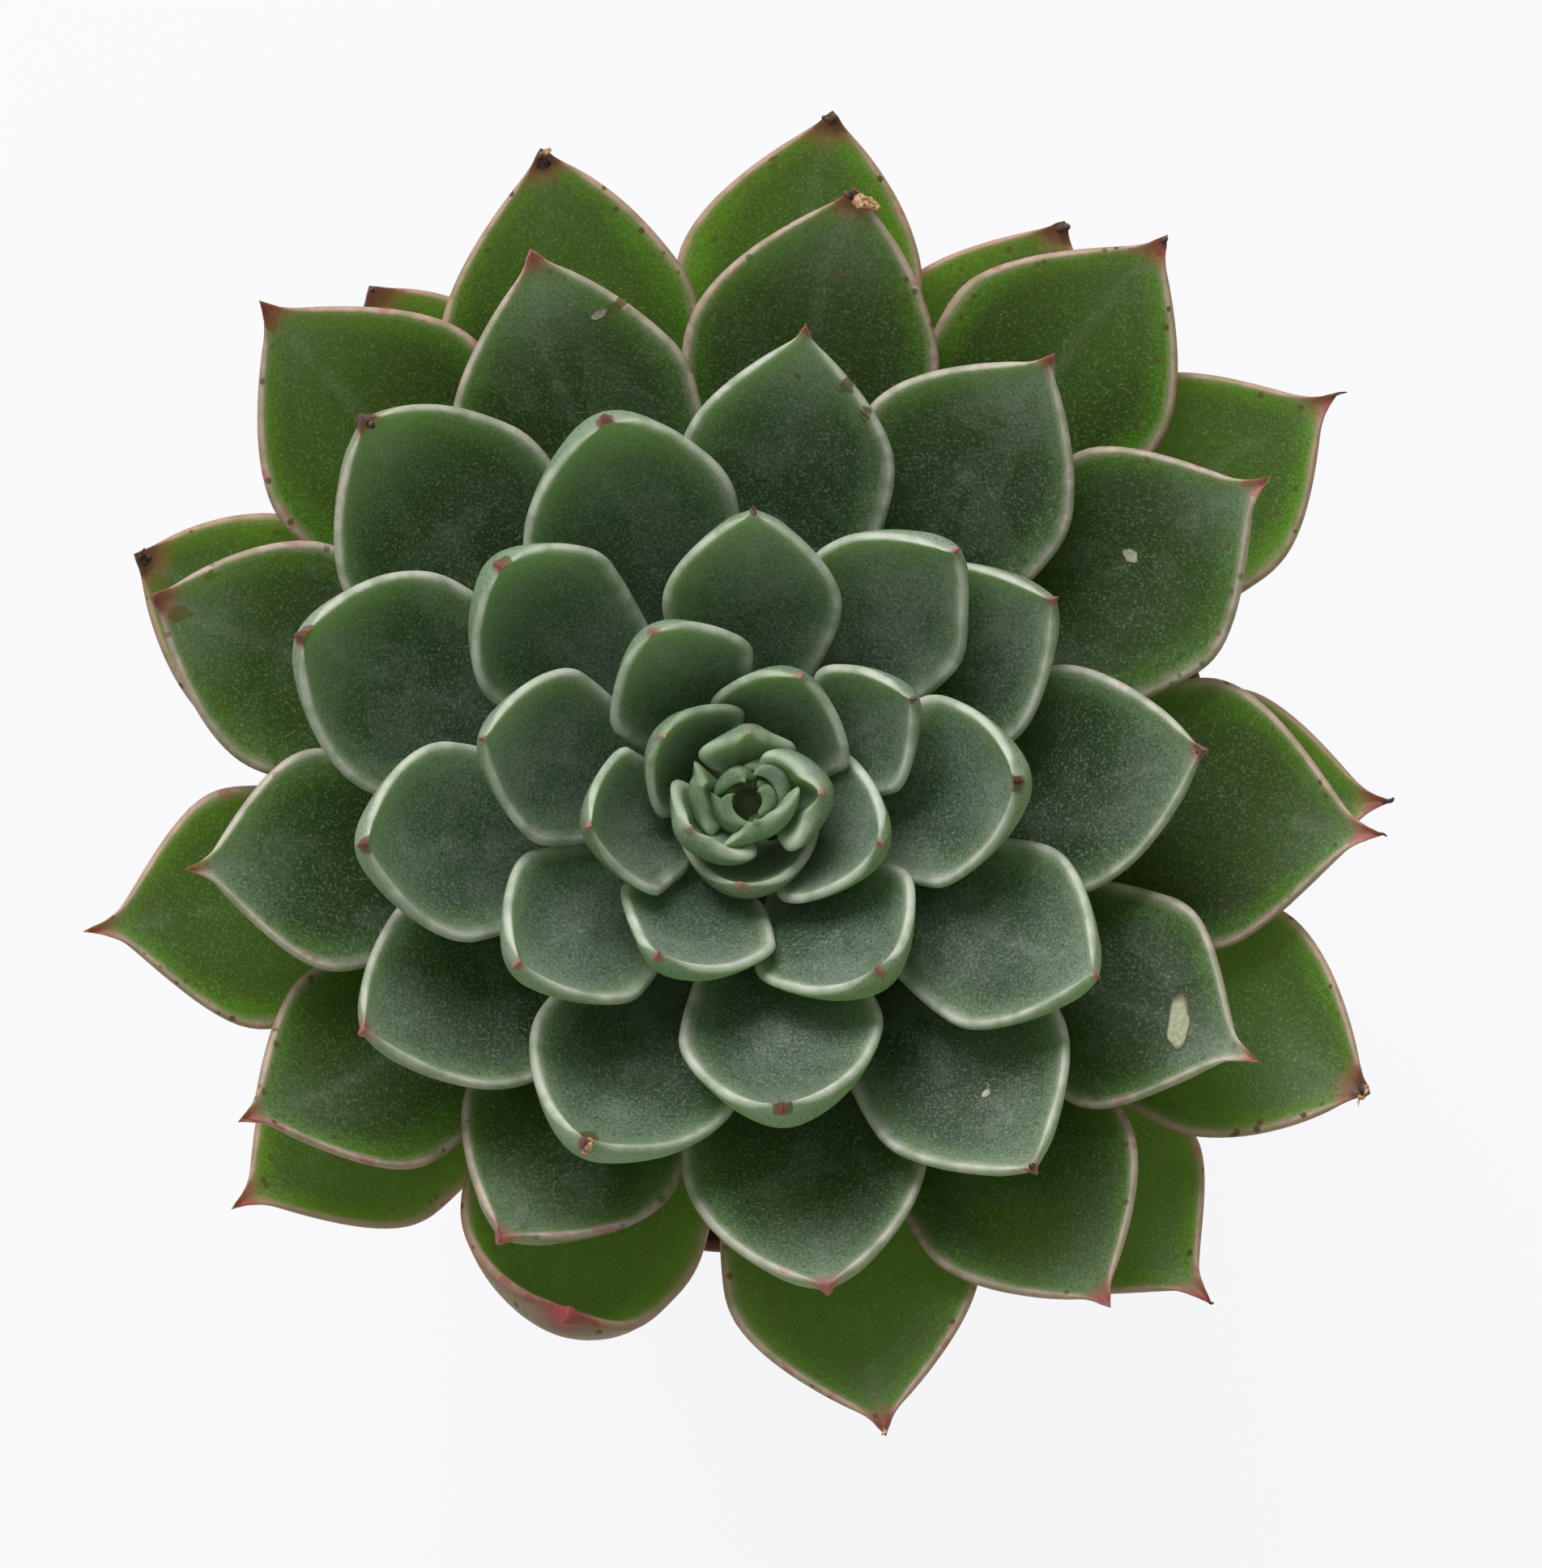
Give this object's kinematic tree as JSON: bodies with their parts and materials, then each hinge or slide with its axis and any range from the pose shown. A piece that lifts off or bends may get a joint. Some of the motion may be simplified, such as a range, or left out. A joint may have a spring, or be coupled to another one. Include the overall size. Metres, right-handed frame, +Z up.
{
  "type": "potted succulent",
  "caption": "Rosette succulent with thick overlapping pointed leaves on a short stem, rooted in soil in a round tapered nursery pot.",
  "frame": {"origin": "centre of the pot's flat underside, on the surface it stands on", "axes": "+Z up out of the pot, +Y towards the side the rosette leans to, +X to its right seen from above"},
  "size_m": [0.1424, 0.1424, 0.1485],
  "materials": {
    "pot_plastic": "satin terracotta-coloured plastic",
    "potting_soil": "damp dark peat mix with perlite",
    "stem_skin": "corky stem with old leaf scars",
    "bud_leaf": "young fleshy leaf",
    "young_leaf": "waxy blue-green leaf with a pale edge",
    "mid_leaf": "waxy green leaf with a pale edge and red tip",
    "old_leaf": "waxy green leaf with a pink edge and dry tip"
  },
  "bodies": {
    "root": {"pot": "pot_plastic", "soil": "potting_soil", "stem": "stem_skin", "bud": "bud_leaf", "leaf_01": "old_leaf", "leaf_02": "old_leaf", "leaf_03": "old_leaf", "leaf_04": "old_leaf", "leaf_05": "old_leaf", "leaf_06": "old_leaf", "leaf_07": "old_leaf", "leaf_08": "old_leaf", "leaf_09": "old_leaf", "leaf_10": "old_leaf", "leaf_11": "old_leaf", "leaf_12": "old_leaf", "leaf_13": "old_leaf", "leaf_14": "old_leaf", "leaf_15": "old_leaf", "leaf_16": "old_leaf", "leaf_17": "old_leaf", "leaf_18": "old_leaf", "leaf_19": "old_leaf", "leaf_20": "old_leaf", "leaf_21": "old_leaf", "leaf_22": "mid_leaf", "leaf_23": "mid_leaf", "leaf_24": "mid_leaf", "leaf_25": "mid_leaf", "leaf_26": "mid_leaf", "leaf_27": "mid_leaf", "leaf_28": "mid_leaf", "leaf_29": "mid_leaf", "leaf_30": "mid_leaf", "leaf_31": "mid_leaf", "leaf_32": "mid_leaf", "leaf_33": "mid_leaf", "leaf_34": "mid_leaf", "leaf_35": "mid_leaf", "leaf_36": "mid_leaf", "leaf_37": "mid_leaf", "leaf_38": "mid_leaf", "leaf_39": "mid_leaf", "leaf_40": "mid_leaf", "leaf_41": "mid_leaf", "leaf_42": "mid_leaf", "leaf_43": "young_leaf", "leaf_44": "young_leaf", "leaf_45": "young_leaf", "leaf_46": "young_leaf", "leaf_47": "young_leaf", "leaf_48": "young_leaf", "leaf_49": "young_leaf", "leaf_50": "young_leaf", "leaf_51": "young_leaf", "leaf_52": "young_leaf", "leaf_53": "young_leaf", "leaf_54": "young_leaf"}
  },
  "joints": []
}
